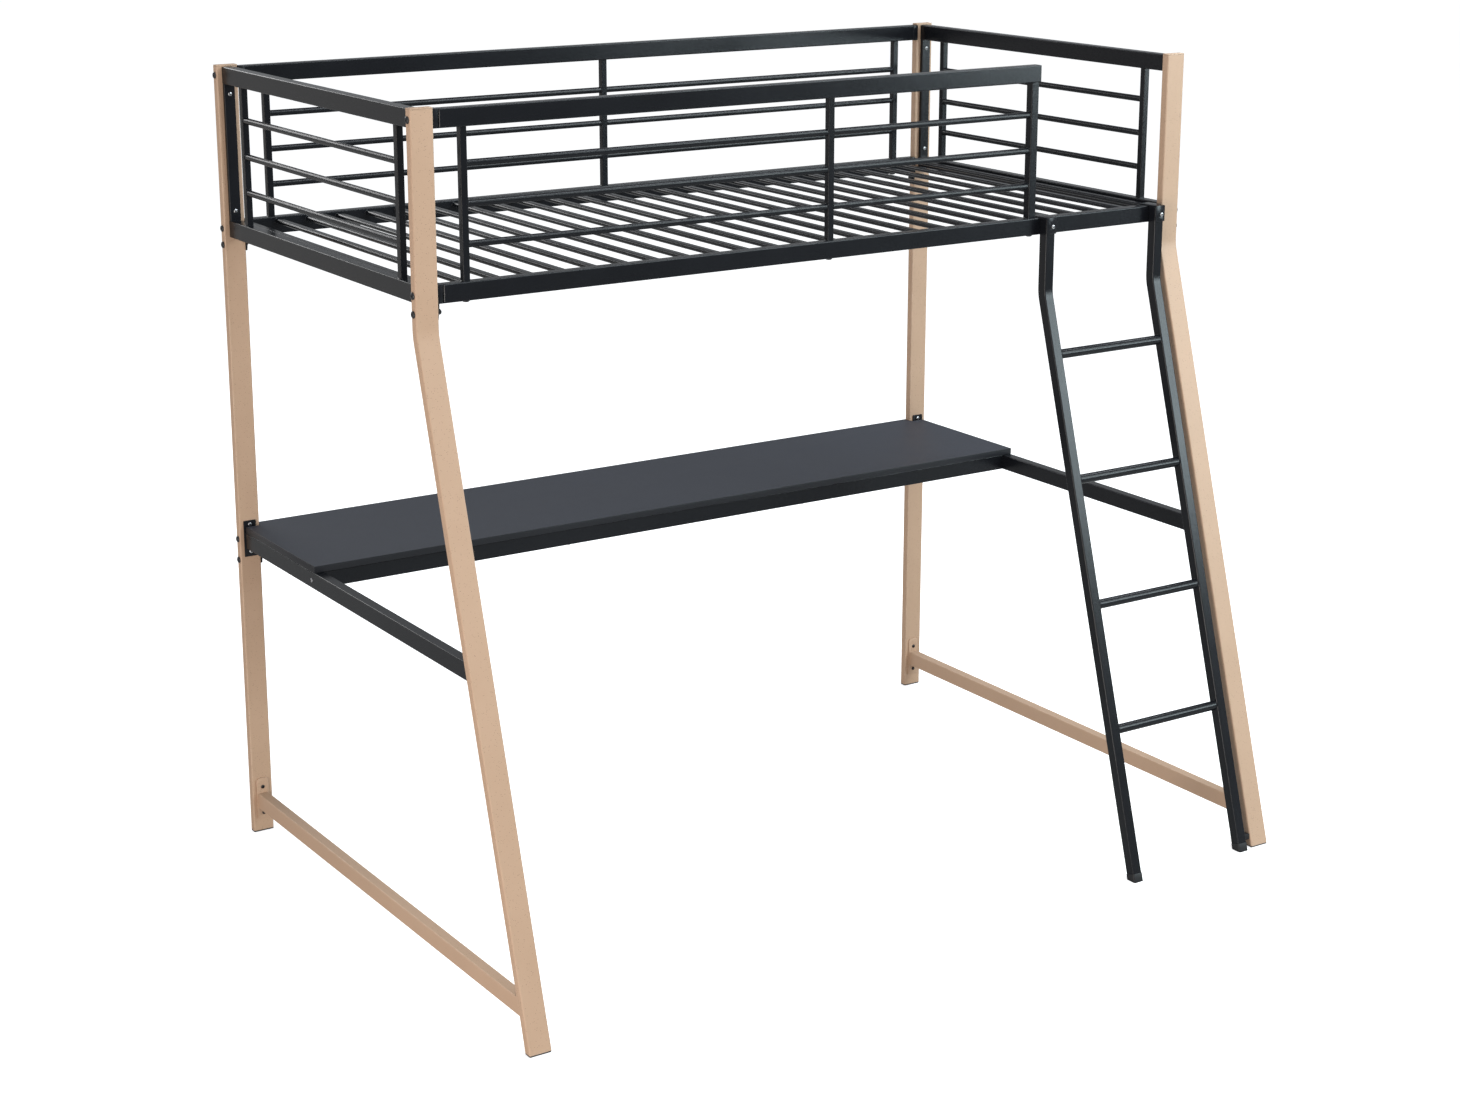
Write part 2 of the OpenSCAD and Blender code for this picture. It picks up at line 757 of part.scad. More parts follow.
module ladder_feet() {
    side = ladder_t + 2 * foot_wall;
    color(plastic_black) for (x = [ladder_x1, ladder_x2]) {
        difference() {
            translate([x, ladder_c(0), 0]) rotate([-lean, 0, 0]) translate([0, 0, -20])
                linear_extrude(foot_h + 20) rounded(side, side, rail_r + foot_wall);
            bent_bar(x, ladder_yc, ladder_zc, deck_z, glide_h, ladder_t, ladder_t, rail_r);
            translate([x - 40, -overall_depth, -60]) cube([80, overall_depth, 60]);
        }
    }
}

module ladder_spacer() {
    x0 = ladder_x2 + ladder_t / 2 + foot_wall;
    color(plastic_black) translate([x0, ladder_c(spacer_z) - spacer_w / 2, spacer_z - spacer_w / 2])
        cube([post_in - x0, spacer_w, spacer_w]);
}

module bolt_in(sx, yc, z, len) {
    translate([sx * half_len, yc, z]) rotate([0, sx * 90, 0]) bolt(len, bolt_d, head_d, head_h);
}

module frame_bolts() {
    len = post_w + plate_t + nut_h + 2;
    color(plastic_black) {
        for (sx = [-1, 1]) {
            for (sy = [-1, 1]) {
                for (z = deck_bolts) {
                    bolt_in(sx, post_y(sy), z, len);
                }
            }
            bolt_in(sx, post_y(1), guard_z - rail_h / 2, len);
            for (z = desk_bolts) {
                bolt_in(sx, post_y(1), z, len);
            }
        }
        bolt_in(-1, post_y(-1), guard_z - rail_h / 2, len);
    }
}

module nut_at(sx, yc, z) {
    translate([sx * (post_in - plate_t), yc, z]) rotate([0, -sx * 90, 0]) difference() {
        cylinder(h = nut_h, d = nut_af / cos(30), $fn = 6);
        translate([0, 0, -1]) cylinder(h = nut_h + 2, d = bolt_d + 0.02);
    }
}

module frame_nuts() {
    color(plastic_black) {
        for (sx = [-1, 1]) {
            for (sy = [-1, 1]) {
                for (z = deck_bolts) {
                    nut_at(sx, post_y(sy), z);
                }
            }
            nut_at(sx, post_y(1), guard_z - rail_h / 2);
            for (z = desk_bolts) {
                nut_at(sx, post_y(1), z);
            }
        }
        nut_at(-1, post_y(-1), guard_z - rail_h / 2);
    }
}

module panel_screws() {
    len = stile_t + wall + 6;
    color(plastic_black) for (sx = [-1, 1]) {
        for (z = panel_screws_z) {
            translate([sx * post_x, end_in_front + stile_t, z]) rotate([-90, 0, 0])
                bolt(len, screw_d, screw_head, 2.4);
            translate([sx * post_x, end_in_back - stile_t, z]) rotate([90, 0, 0])
                bolt(len, screw_d, screw_head, 2.4);
        }
    }
}

module guard_bolts() {
    color(plastic_black) {
        for (x = front_up_x()) {
            translate([x, y_front + side_c, deck_low]) rotate([180, 0, 0]) bolt(rail_h + 12, bolt_d, head_d, head_h);
        }
        for (x = rear_up_x()) {
            translate([x, y_back - side_c, deck_low]) rotate([180, 0, 0]) bolt(rail_h + 12, bolt_d, head_d, head_h);
        }
    }
}

module desk_plate_screws() {
    color(bright_steel) for (sx = [-1, 1]) {
        for (z = desk_plate_bolts) {
            translate([sx * post_x, plate_y, z]) rotate([90, 0, 0]) bolt(plate_t + wall + 6, screw_d, screw_head, 2.4);
        }
    }
}

module desk_side_screws() {
    color(plastic_black) for (sx = [-1, 1]) {
        translate([sx * (post_x + rail_t / 2), beam_y, board_z - rail_h / 2]) rotate([0, sx * 90, 0])
            bolt(rail_t + 12, screw_d, screw_head, 2.4);
    }
}

module board_screws() {
    color(plastic_black) for (p = board_screw_xy()) {
        translate([p[0], p[1], desk_low]) rotate([180, 0, 0]) bolt(rail_h + board_t * 0.5, screw_d, screw_head, 2.4);
    }
}

module stretcher_screws() {
    color(plastic_black) for (sx = [-1, 1]) {
        for (z = stretcher_bolts) {
            translate([sx * post_x, plate_y, z]) rotate([90, 0, 0]) bolt(plate_t + wall + 6, screw_d, screw_head, 2.4);
            on_leg(sx, z) translate([0, 0, plate_t]) bolt(plate_t + wall + 6, screw_d, screw_head, 2.4);
        }
    }
}

module hook_screws() {
    color(bright_steel) for (x = [ladder_x1, ladder_x2]) {
        translate([x + 4, y_front - ladder_t - hook_t, deck_z - deck_bolt_1]) rotate([90, 0, 0])
            bolt(hook_t + wall + 5, screw_d, screw_head, 2.4);
    }
}

post_rear_left();
post_rear_right();
leg_front_left();
leg_front_right();
post_caps();
foot_glides();
end_top_rail_left();
end_top_rail_right();
end_bottom_rail_left();
end_bottom_rail_right();
end_stiles();
end_uprights();
end_rods_left();
end_rods_right();
side_rail_front();
side_rail_rear();
side_rail_brackets();
slats();
guard_rail_front();
guard_rail_rear();
guard_rail_brackets();
guard_uprights_front();
guard_end_post();
guard_uprights_rear();
guard_rods_front();
guard_rods_rear();
guard_end_cap();
desk_board();
desk_beam_front();
desk_beam_rear();
desk_beam_brackets();
desk_rail_left();
desk_rail_right();
desk_post_plates();
desk_leg_plates();
stretcher_left();
stretcher_right();
stretcher_post_plates();
stretcher_leg_plates();
ladder_stile_left();
ladder_stile_right();
ladder_rungs();
ladder_hooks();
ladder_feet();
ladder_spacer();
frame_bolts();
frame_nuts();
panel_screws();
guard_bolts();
desk_plate_screws();
desk_side_screws();
board_screws();
stretcher_screws();
hook_screws();
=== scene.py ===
# %% [markdown]
# # A loft bed with a desk
# The bed stands on four tan steel posts. Black tube rails carry a slatted deck with a
# guard of round rods, a dark desk board crosses below, and a black ladder leans at the right.
# The steel frame comes in already modelled at its true size. This lesson lights it, gives
# each finish its own procedural material, and models the pieces that the eye goes to:
# the board, the welds, the caps, the feet and the screws.

# %% Load the frame
import json
import math

import bmesh
import bpy
import numpy as np
from mathutils import Matrix, Vector


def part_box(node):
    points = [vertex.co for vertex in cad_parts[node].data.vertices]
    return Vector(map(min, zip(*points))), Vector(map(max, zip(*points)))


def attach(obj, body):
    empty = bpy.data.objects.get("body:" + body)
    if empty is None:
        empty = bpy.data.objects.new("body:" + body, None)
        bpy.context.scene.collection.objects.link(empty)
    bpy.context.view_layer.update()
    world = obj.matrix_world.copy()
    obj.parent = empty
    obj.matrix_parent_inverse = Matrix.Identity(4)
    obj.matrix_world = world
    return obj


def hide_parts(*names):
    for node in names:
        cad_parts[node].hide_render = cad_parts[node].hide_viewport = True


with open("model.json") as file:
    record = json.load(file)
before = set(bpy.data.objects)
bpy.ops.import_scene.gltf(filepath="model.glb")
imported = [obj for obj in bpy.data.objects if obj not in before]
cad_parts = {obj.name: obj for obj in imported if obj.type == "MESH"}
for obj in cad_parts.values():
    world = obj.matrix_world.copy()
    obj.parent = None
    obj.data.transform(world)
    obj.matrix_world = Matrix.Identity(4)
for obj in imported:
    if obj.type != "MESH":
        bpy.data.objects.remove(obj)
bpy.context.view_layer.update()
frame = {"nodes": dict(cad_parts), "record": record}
scene = bpy.context.scene

# %% [markdown]
# ## Camera
# The bed is seen from the front left, standing about six metres off and a little above
# the guard. A long lens keeps the posts nearly parallel, and a small shift of the sensor
# does what a view camera does: it moves the bed up or down in the frame without more tilt.

# %% Camera
CAMERA_PLACE = (-3.1894, -4.8009, 2.4100)
CAMERA_TILT = 75.114  # degrees from looking straight down
CAMERA_TURN = -32.968  # degrees round the vertical, clockwise from above
LENS_MM = 64.226
SENSOR_MM = 36
SENSOR_SHIFT = -0.0466
CAMERA_REACH = 60

camera_data = bpy.data.cameras.new("bed_camera")
camera = bpy.data.objects.new("bed_camera", camera_data)
scene.collection.objects.link(camera)
camera.location = CAMERA_PLACE
camera.rotation_euler = (math.radians(CAMERA_TILT), 0, math.radians(CAMERA_TURN))
camera_data.lens = LENS_MM
camera_data.sensor_width = SENSOR_MM
camera_data.shift_y = SENSOR_SHIFT
camera_data.clip_end = CAMERA_REACH
scene.camera = camera
print("camera at", tuple(round(v, 2) for v in camera.location))

# %% [markdown]
# ## Floor and light
# The floor is one pale sheet that runs up into the background, and the world is an even
# white. Two cool lamps at the front right and two warm ones at the left shape the tubes, a
# strip above draws the bright line along the top of every rail, and two behind lift the
# faces that are turned away. The floor glows a little, but only towards the camera, so
# that it stays white in the picture without lighting the black tubes from below.

# %% Helpers for selection and new meshes
def clear_selection():
    if bpy.context.object and bpy.context.object.mode != "OBJECT":
        bpy.ops.object.mode_set(mode="OBJECT")
    bpy.ops.object.select_all(action="DESELECT")


def select_only(*objects):
    clear_selection()
    for item in objects:
        item.select_set(True)
    bpy.context.view_layer.objects.active = objects[0]


clear_selection()

# %% Floor
FLOOR_SIZE = 60
FLOOR_DROP = 0.0005  # just clear of the feet
PAPER_TO_LAMPS = (0.50, 0.49, 0.48, 1)
PAPER_TO_CAMERA = (0.93, 0.93, 0.93, 1)
PAPER_GLOW = 0.65

bpy.ops.mesh.primitive_plane_add(size=FLOOR_SIZE, location=(0, 0, -FLOOR_DROP))
floor = bpy.context.object
floor.name = "studio_floor"
paper = bpy.data.materials.new("studio_paper")
paper.use_nodes = True
paper_tree = paper.node_tree
paper_shader = paper_tree.nodes["Principled BSDF"]
paper_shader.inputs["Roughness"].default_value = 0.9
paper_shader.inputs["Specular IOR Level"].default_value = 0.1
paper_shader.inputs["Emission Color"].default_value = (1, 1, 1, 1)
paper_ray = paper_tree.nodes.new("ShaderNodeLightPath")
paper_tone = paper_tree.nodes.new("ShaderNodeMix")
paper_tone.data_type = "RGBA"
paper_tone.inputs["A"].default_value = PAPER_TO_LAMPS
paper_tone.inputs["B"].default_value = PAPER_TO_CAMERA
paper_lift = paper_tree.nodes.new("ShaderNodeMath")
paper_lift.operation = "MULTIPLY"
paper_lift.inputs[1].default_value = PAPER_GLOW
paper_tree.links.new(paper_ray.outputs["Is Camera Ray"], paper_tone.inputs["Factor"])
paper_tree.links.new(paper_ray.outputs["Is Camera Ray"], paper_lift.inputs[0])
paper_tree.links.new(paper_tone.outputs["Result"], paper_shader.inputs["Base Color"])
paper_tree.links.new(paper_lift.outputs[0], paper_shader.inputs["Emission Strength"])
floor.data.materials.append(paper)

# %% World
SKY_TINT = (0.94, 0.97, 1.0, 1)
SKY_STRENGTH = 0.42

world = bpy.data.worlds.new("studio_white")
scene.world = world
world.use_nodes = True
tree = world.node_tree
sky = tree.nodes["Background"]
sky.inputs["Color"].default_value = SKY_TINT
sky.inputs["Strength"].default_value = SKY_STRENGTH
seen = tree.nodes.new("ShaderNodeBackground")
seen.inputs["Color"].default_value = (1, 1, 1, 1)
ray = tree.nodes.new("ShaderNodeLightPath")
either = tree.nodes.new("ShaderNodeMixShader")
tree.links.new(ray.outputs["Is Camera Ray"], either.inputs["Fac"])
tree.links.new(sky.outputs["Background"], either.inputs[1])
tree.links.new(seen.outputs["Background"], either.inputs[2])
tree.links.new(either.outputs["Shader"], tree.nodes["World Output"].inputs["Surface"])
scene.view_settings.view_transform = "Standard"


# %% Lamps
def area_lamp(name, place, aim, size, power, tint):
    data = bpy.data.lights.new(name, "AREA")
    data.shape = "RECTANGLE"
    data.size, data.size_y = size
    data.energy = power
    data.color = tint
    lamp = bpy.data.objects.new(name, data)
    scene.collection.objects.link(lamp)
    lamp.visible_camera = False
    lamp.location = place
    lamp.rotation_euler = (Vector(aim) - Vector(place)).to_track_quat("-Z", "Y").to_euler()


LAMPS = (  # name, place, what it is aimed at, size, watts, tint
    ("key", (3.2, -3.8, 4.4), (0.3, 0, 0.9), (2.2, 2.2), 150, (0.86, 0.98, 1.0)),
    ("low_right", (3.5, -3.4, 2.0), (0.7, -0.4, 1.2), (1.2, 1.2), 64, (0.80, 0.95, 1.0)),
    ("fill", (-7.0, -4.0, 1.5), (-0.2, 0.2, 0.7), (3.2, 2.6), 180, (1.0, 0.90, 0.81)),
    ("low_left", (-3.8, -2.2, 0.45), (-0.4, 0.2, 0.1), (1.8, 0.7), 42, (1.0, 0.95, 0.90)),
    ("back_left", (-3.6, 5.0, 0.8), (-0.6, 0, 1.2), (3.0, 1.6), 5, (1.0, 0.97, 0.94)),
    ("back_fill", (-1.5, 6.0, 3.4), (0, 0, 0.9), (3.0, 2.0), 90, (1, 1, 1)),
    ("top_strip", (1.7, -0.8, 4.6), (1.2, 0.1, 1.4), (6.0, 0.6), 130, (0.86, 0.93, 1.0)),
)
for lamp_settings in LAMPS:
    area_lamp(*lamp_settings)
print("lamps", len(LAMPS))

# %% [markdown]
# ## A shared group: powder coat
# Powder coat is baked on, so up close it has the faint waviness of orange peel and, on tan,
# a few darker specks. One group gives three fields from Object coordinates: a height for
# the bump, a slow mottle that shifts the colour, and a roughness that wanders a little.

# %% Group helpers
def new_group(name, inputs, outputs):
    group = bpy.data.node_groups.new(name, "ShaderNodeTree")
    for label, value in inputs:
        socket = group.interface.new_socket(label, in_out="INPUT", socket_type="NodeSocketFloat")
        socket.default_value = value
    for label in outputs:
        group.interface.new_socket(label, in_out="OUTPUT", socket_type="NodeSocketFloat")
    return group


def add_node(tree, kind, **settings):
    node = tree.nodes.new(kind)
    for key, value in settings.items():
        if key in node.inputs:
            node.inputs[key].default_value = value
        else:
            setattr(node, key, value)
    return node


# %% The powder coat group
coat = new_group(
    "powder_coat",
    [("Peel Scale", 900.0), ("Mottle Scale", 6.0), ("Roughness", 0.4), ("Roughness Spread", 0.1)],
    ["Height", "Mottle", "Roughness"],
)
g_in = add_node(coat, "NodeGroupInput")
g_out = add_node(coat, "NodeGroupOutput")
where = add_node(coat, "ShaderNodeTexCoord")
peel = add_node(coat, "ShaderNodeTexNoise", Detail=2.0, Roughness=0.5)
mottle = add_node(coat, "ShaderNodeTexNoise", Detail=3.0, Roughness=0.6)
coat.links.new(where.outputs["Object"], peel.inputs["Vector"])
coat.links.new(where.outputs["Object"], mottle.inputs["Vector"])
coat.links.new(g_in.outputs["Peel Scale"], peel.inputs["Scale"])
coat.links.new(g_in.outputs["Mottle Scale"], mottle.inputs["Scale"])
centred = add_node(coat, "ShaderNodeMath", operation="SUBTRACT")
centred.inputs[1].default_value = 0.5
spread = add_node(coat, "ShaderNodeMath", operation="MULTIPLY_ADD")
coat.links.new(mottle.outputs["Fac"], centred.inputs[0])
coat.links.new(centred.outputs[0], spread.inputs[0])
coat.links.new(g_in.outputs["Roughness Spread"], spread.inputs[1])
coat.links.new(g_in.outputs["Roughness"], spread.inputs[2])
coat.links.new(peel.outputs["Fac"], g_out.inputs["Height"])
coat.links.new(mottle.outputs["Fac"], g_out.inputs["Mottle"])
coat.links.new(spread.outputs[0], g_out.inputs["Roughness"])
print("groups", [g.name for g in bpy.data.node_groups])


# %% [markdown]
# ## A second group: thin coat and painted highlight on the edges
# Paint draws back from a sharp edge, so there the coat is thinner and reads lighter; the same
# lighter colour also stands in for the highlight along each edge, so it is partly a painted
# highlight. The Bevel node rounds the normal near an edge; where that differs from the true
# normal, the mask rises. A noise breaks the mask up, so that the wear and the painted
# highlight aren't an even outline.

# %% The edge group: worn edges and a painted highlight
EDGE_STARTS = 0.995  # cosine between the rounded and the true normal
EDGE_IS_FULL = 0.86
BREAKUP_LOW = 0.3  # of the noise, where the edge vanishes
BREAKUP_HIGH = 0.65

edges = new_group(
    "thin_edges_and_highlight",
    [("Radius", 0.002), ("Breakup Scale", 40.0), ("Amount", 1.0)],
    ["Edge"],
)
e_in = add_node(edges, "NodeGroupInput")
e_out = add_node(edges, "NodeGroupOutput")
e_where = add_node(edges, "ShaderNodeTexCoord")
e_noise = add_node(edges, "ShaderNodeTexNoise", Detail=4.0, Roughness=0.6)
e_bevel = add_node(edges, "ShaderNodeBevel")
e_bevel.samples = 4
e_flat = add_node(edges, "ShaderNodeNewGeometry")
e_dot = add_node(edges, "ShaderNodeVectorMath", operation="DOT_PRODUCT")
edge_wear_and_highlight_mask = add_node(edges, "ShaderNodeMapRange")
edge_wear_and_highlight_mask.inputs["From Min"].default_value = EDGE_STARTS
edge_wear_and_highlight_mask.inputs["From Max"].default_value = EDGE_IS_FULL
e_break = add_node(edges, "ShaderNodeMapRange")
e_break.inputs["From Min"].default_value = BREAKUP_LOW
e_break.inputs["From Max"].default_value = BREAKUP_HIGH
e_both = add_node(edges, "ShaderNodeMath", operation="MULTIPLY")
e_scaled = add_node(edges, "ShaderNodeMath", operation="MULTIPLY")
edges.links.new(e_in.outputs["Radius"], e_bevel.inputs["Radius"])
edges.links.new(e_in.outputs["Breakup Scale"], e_noise.inputs["Scale"])
edges.links.new(e_where.outputs["Object"], e_noise.inputs["Vector"])
edges.links.new(e_bevel.outputs["Normal"], e_dot.inputs[0])
edges.links.new(e_flat.outputs["Normal"], e_dot.inputs[1])
edges.links.new(e_dot.outputs["Value"], edge_wear_and_highlight_mask.inputs["Value"])
edges.links.new(e_noise.outputs["Fac"], e_break.inputs["Value"])
edges.links.new(edge_wear_and_highlight_mask.outputs["Result"], e_both.inputs[0])
edges.links.new(e_break.outputs["Result"], e_both.inputs[1])
edges.links.new(e_both.outputs[0], e_scaled.inputs[0])
edges.links.new(e_in.outputs["Amount"], e_scaled.inputs[1])
edges.links.new(e_scaled.outputs[0], e_out.inputs["Edge"])
print("edge group ready")


# %% [markdown]
# ## A third group: specks
# Tan powder is a blend of grains, so a few of them stay darker than the rest. Cells of a
# Voronoi pattern give each grain its own random number; only the rarest cells, and only
# near their middles, show as specks well under a millimetre across.

# %% The speck group
SPECK_REACH = 0.35  # of a cell, from its middle

specks = new_group("grain_specks", [("Scale", 500.0), ("Share", 0.06)], ["Speck"])
s_in = add_node(specks, "NodeGroupInput")
s_out = add_node(specks, "NodeGroupOutput")
s_where = add_node(specks, "ShaderNodeTexCoord")
s_cells = add_node(specks, "ShaderNodeTexVoronoi")
s_pick = add_node(specks, "ShaderNodeSeparateColor")
s_rare = add_node(specks, "ShaderNodeMath", operation="LESS_THAN")
s_round = add_node(specks, "ShaderNodeMath", operation="LESS_THAN")
s_round.inputs[1].default_value = SPECK_REACH
s_both = add_node(specks, "ShaderNodeMath", operation="MULTIPLY")
specks.links.new(s_where.outputs["Object"], s_cells.inputs["Vector"])
specks.links.new(s_in.outputs["Scale"], s_cells.inputs["Scale"])
specks.links.new(s_cells.outputs["Color"], s_pick.inputs["Color"])
specks.links.new(s_pick.outputs["Red"], s_rare.inputs[0])
specks.links.new(s_in.outputs["Share"], s_rare.inputs[1])
specks.links.new(s_cells.outputs["Distance"], s_round.inputs[0])
specks.links.new(s_rare.outputs[0], s_both.inputs[0])
specks.links.new(s_round.outputs[0], s_both.inputs[1])
specks.links.new(s_both.outputs[0], s_out.inputs["Speck"])
print("speck group ready")


# %% Painted steel materials
PEEL_DEPTH = 0.0004
SPECK_DARKNESS = 0.45
# how strongly the edge mask shows: thin coat at an edge, and partly a painted highlight along it
EDGE_WEAR_AND_HIGHLIGHT = 0.5


def painted(name, dark, light, edge, roughness, spread_by, peel_scale, bump, specular=0.5,
            edge_radius=0.002, metallic=0.0, speck_share=0.0, speck_scale=500):
    material = bpy.data.materials.new(name)
    material.use_nodes = True
    tree = material.node_tree
    shader = tree.nodes["Principled BSDF"]
    field = add_node(tree, "ShaderNodeGroup")
    field.node_tree = coat
    field.inputs["Peel Scale"].default_value = peel_scale
    field.inputs["Roughness"].default_value = roughness
    field.inputs["Roughness Spread"].default_value = spread_by
    # the lighter edge colour: thin coat at an edge, and partly a painted highlight along it
    thin = add_node(tree, "ShaderNodeGroup")
    thin.node_tree = edges
    thin.inputs["Radius"].default_value = edge_radius
    thin.inputs["Amount"].default_value = EDGE_WEAR_AND_HIGHLIGHT
    tone = add_node(tree, "ShaderNodeMix", data_type="RGBA")
    tone.inputs["A"].default_value = (*dark, 1)
    tone.inputs["B"].default_value = (*light, 1)
    rim = add_node(tree, "ShaderNodeMix", data_type="RGBA")
    rim.inputs["B"].default_value = (*edge, 1)
    bumps = add_node(tree, "ShaderNodeBump")
    bumps.inputs["Strength"].default_value = bump
    bumps.inputs["Distance"].default_value = PEEL_DEPTH
    tree.links.new(field.outputs["Mottle"], tone.inputs["Factor"])
    tree.links.new(tone.outputs["Result"], rim.inputs["A"])
    tree.links.new(thin.outputs["Edge"], rim.inputs["Factor"])
    colour = rim.outputs["Result"]
    if speck_share:
        grain = add_node(tree, "ShaderNodeGroup")
        grain.node_tree = specks
        grain.inputs["Scale"].default_value = speck_scale
        grain.inputs["Share"].default_value = speck_share
        dotted = add_node(tree, "ShaderNodeMix", data_type="RGBA")
        dotted.inputs["B"].default_value = (*(SPECK_DARKNESS * value for value in dark), 1)
        tree.links.new(grain.outputs["Speck"], dotted.inputs["Factor"])
        tree.links.new(colour, dotted.inputs["A"])
        colour = dotted.outputs["Result"]
    tree.links.new(colour, shader.inputs["Base Color"])
    tree.links.new(field.outputs["Roughness"], shader.inputs["Roughness"])
    tree.links.new(field.outputs["Height"], bumps.inputs["Height"])
    tree.links.new(bumps.outputs["Normal"], shader.inputs["Normal"])
    shader.inputs["Specular IOR Level"].default_value = specular
    shader.inputs["Metallic"].default_value = metallic
    return material


# each finish's edge colour is where the coat is thin at an edge, and also a painted highlight
# along that edge
tan_paint = painted(
    "tan_powder_coat", dark=(0.46, 0.305, 0.205), light=(0.53, 0.36, 0.25),
    edge=(0.70, 0.55, 0.42), roughness=0.46, spread_by=0.12, peel_scale=700, bump=0.2,
    specular=0.35, edge_radius=0.003, speck_share=0.05, speck_scale=600)
black_paint = painted(
    "black_powder_coat", dark=(0.005, 0.0055, 0.007), light=(0.0085, 0.0095, 0.0125),
    edge=(0.06, 0.064, 0.072), roughness=0.25, spread_by=0.08, peel_scale=800, bump=0.12,
    specular=0.24)
board_paint = painted(
    "slate_laminate", dark=(0.029, 0.032, 0.043), light=(0.039, 0.043, 0.056),
    edge=(0.08, 0.085, 0.095), roughness=0.52, spread_by=0.1, peel_scale=1200, bump=0.15,
    specular=0.32, edge_radius=0.001, speck_share=0.12, speck_scale=900)
band_paint = painted(
    "edge_band", dark=(0.012, 0.013, 0.016), light=(0.017, 0.018, 0.022),
    edge=(0.05, 0.053, 0.06), roughness=0.42, spread_by=0.08, peel_scale=900, bump=0.1,
    specular=0.3, edge_radius=0.001)
plastic = painted(
    "black_plastic", dark=(0.008, 0.008, 0.009), light=(0.014, 0.014, 0.016),
    edge=(0.04, 0.04, 0.042), roughness=0.5, spread_by=0.1, peel_scale=900, bump=0.1,
    specular=0.4, edge_radius=0.001)
screw_black = painted(
    "black_screw", dark=(0.010, 0.010, 0.012), light=(0.018, 0.018, 0.02),
    edge=(0.20, 0.20, 0.21), roughness=0.3, spread_by=0.1, peel_scale=900, bump=0.1,
    specular=0.6, edge_radius=0.0006)
screw_bright = painted(
    "zinc_screw", dark=(0.58, 0.58, 0.60), light=(0.70, 0.70, 0.72),
    edge=(0.8, 0.8, 0.82), roughness=0.28, spread_by=0.1, peel_scale=900, bump=0.1,
    edge_radius=0.0006, metallic=1.0)
finish_of = {
    "tan_paint": tan_paint,
    "black_paint": black_paint,
    "board": board_paint,
    "black_plastic": plastic,
    "black_screw": screw_black,
    "bright_screw": screw_bright,
}
print("finishes", sorted(finish_of))

# %% Give every frame node its finish
for part in frame["record"]["subparts"]:
    node = frame["nodes"][part["node"]]
    node.data.materials.clear()
    node.data.materials.append(finish_of[part["material_slot"]])

# %% [markdown]
# ## Tools for the small pieces
# The bolts, screws, welds and caps sit where the frame's own solids are. The frame gives a
# node as loose triangles, so a merged copy is split into its separate solids, and the long
# axis of each one is found from the spread of its points. That says where to put a copy of
# a finely modelled piece, and which way it points. The points are walked by their index and
# then sorted, so that every run adds them up in the same order and gives the same result.

# %% Find the separate solids of a node
SAME_POINT = 1e-6


def solids_of(node):
    mesh = bmesh.new()
    mesh.from_mesh(frame["nodes"][node].data)
    bmesh.ops.remove_doubles(mesh, verts=mesh.verts, dist=SAME_POINT)
    mesh.verts.index_update()
    reached = set()
    found = []
    for first in mesh.verts:
        if first.index in reached:
            continue
        reached.add(first.index)
        island, waiting = [], [first]
        while waiting:
            vert = waiting.pop()
            island.append(vert.co[:])
            for edge in vert.link_edges:
                other = edge.other_vert(vert)
                if other.index not in reached:
                    reached.add(other.index)
                    waiting.append(other)
        found.append(np.array(sorted(island)))
    mesh.free()
    found.sort(key=lambda points: tuple(np.round(points.mean(axis=0), 3)))
    return found


def axis_of(points):
    middle = (points.min(axis=0) + points.max(axis=0)) / 2
    spread = points - points.mean(axis=0)
    _, vectors = np.linalg.eigh(spread.T @ spread)
    return Vector(middle), Vector(vectors[:, 2]).normalized()


print("bolt solids", len(solids_of("frame_bolts")))


# %% Finish a piece: one mesh at the origin, a material and a body
def settle(piece, material, replaced=(), *, smooth):
    select_only(piece)
    bpy.ops.object.transform_apply(location=True, rotation=True, scale=True)
    bpy.ops.object.shade_smooth_by_angle(angle=math.radians(smooth))
    if not piece.data.materials:
        piece.data.materials.append(material)
    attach(piece, "root")
    if replaced:
        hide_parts(*replaced)
    clear_selection()


def apply_modifier(piece, kind, **settings):
    select_only(piece)
    modifier = piece.modifiers.new(kind.lower(), kind)
    for key, value in settings.items():
        setattr(modifier, key, value)
    bpy.ops.object.modifier_apply(modifier=modifier.name)
    clear_selection()


def block(name, low, high):
    size = Vector(high) - Vector(low)
    bpy.ops.mesh.primitive_cube_add(size=1, location=(Vector(high) + Vector(low)) / 2, scale=size)
    piece = bpy.context.object
    piece.name = name
    select_only(piece)
    bpy.ops.object.transform_apply(location=True, rotation=True, scale=True)
    return piece


def copy_to(model, name, place):
    piece = model.copy()
    piece.data = model.data.copy()
    piece.name = name
    scene.collection.objects.link(piece)
    piece.data.transform(place)
    return piece


def facing(place, direction):
    turn = Vector(direction).to_track_quat("Z", "Y").to_matrix().to_4x4()
    return Matrix.Translation(Vector(place)) @ turn


# %% [markdown]
# ## Desk board
# The real board is particle board with a dark grey laminate on top and a thin darker band
# glued round its edges. It could be one box with a bevel, but the join between the laminate
# and its band shows as a fine line, so the top face is inset by the band's thickness and
# the strip outside that line gets the band's own finish.

# %% Desk board
board_lo, board_hi = (Vector(corner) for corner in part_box("desk_board"))
BAND = 0.0015
BAND_STEP = 0.0001
NOTCH_PLAY_BACK = 0.005  # clear of the post plates
NOTCH_PLAY_SIDE = 0.008
PAST_BOARD = 0.02
PAST_FACE = 0.01
BOARD_BEVEL = 0.0009
BROAD_FACE = 0.1  # square metres, so only the two large faces
LEVEL = 0.99


def is_broad(face):
    return abs(face.normal.z) > LEVEL and face.area > BROAD_FACE


